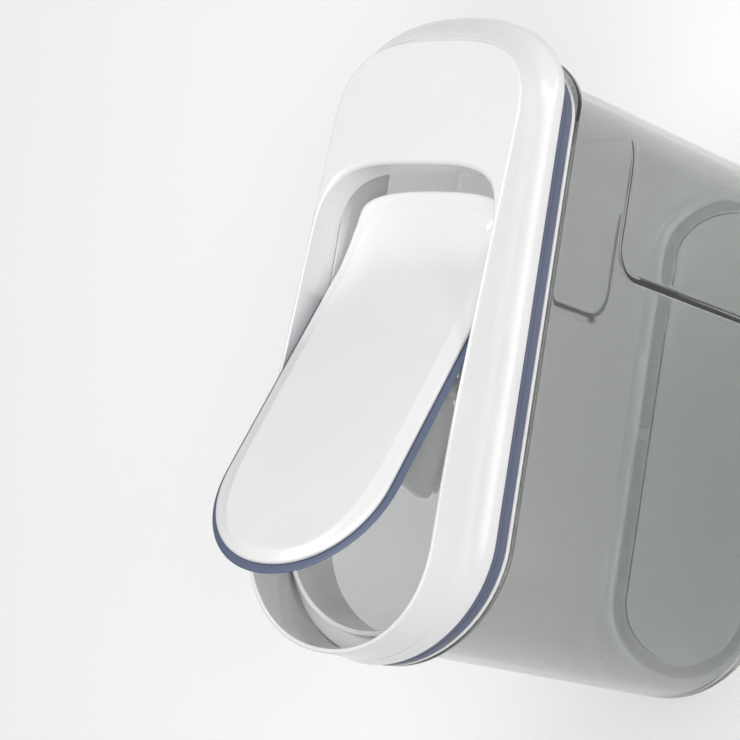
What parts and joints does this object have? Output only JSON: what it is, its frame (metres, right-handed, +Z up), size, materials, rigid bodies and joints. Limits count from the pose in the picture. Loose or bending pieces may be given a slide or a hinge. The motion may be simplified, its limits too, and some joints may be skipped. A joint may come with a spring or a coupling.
{
  "type": "cereal dispenser",
  "caption": "Clear oblong food container with a press-on white pouring lid, dark seals and a tilting pour flap that is hinged across the lid, stored with the flap open.",
  "frame": {"origin": "centre of the base, on the surface that the container stands on, midway along and across the whole object", "axes": "+Z up; -X towards the pouring end, +X towards the closed handle end; Y across the narrow width"},
  "size_m": [0.2604, 0.105, 0.2866],
  "materials": {
    "clear_plastic": "clear, polished",
    "white_plastic": "satin gloss",
    "seal_rubber": "satin silicone, navy"
  },
  "bodies": {
    "container": {"container": "clear_plastic"},
    "lid": {"lid_shell": "white_plastic", "lid_gasket": "seal_rubber", "lid_inner_ring": "white_plastic", "hinge_bridge": "white_plastic", "hinge_pin_left": "white_plastic", "hinge_pin_right": "white_plastic"},
    "flap": {"flap_cover": "white_plastic", "flap_gasket": "seal_rubber", "flap_tray": "white_plastic"}
  },
  "joints": [
    {"name": "lid_lift", "type": "slide", "parent": "container", "child": "lid", "axis": [0, 0, 1], "range_m": [0, 0.06]},
    {"name": "flap_hinge", "type": "hinge", "parent": "lid", "child": "flap", "pos_m": [-0.02, 0, 0.2166], "axis": [0, 1, 0], "range_deg": [-26.2, 4]}
  ]
}
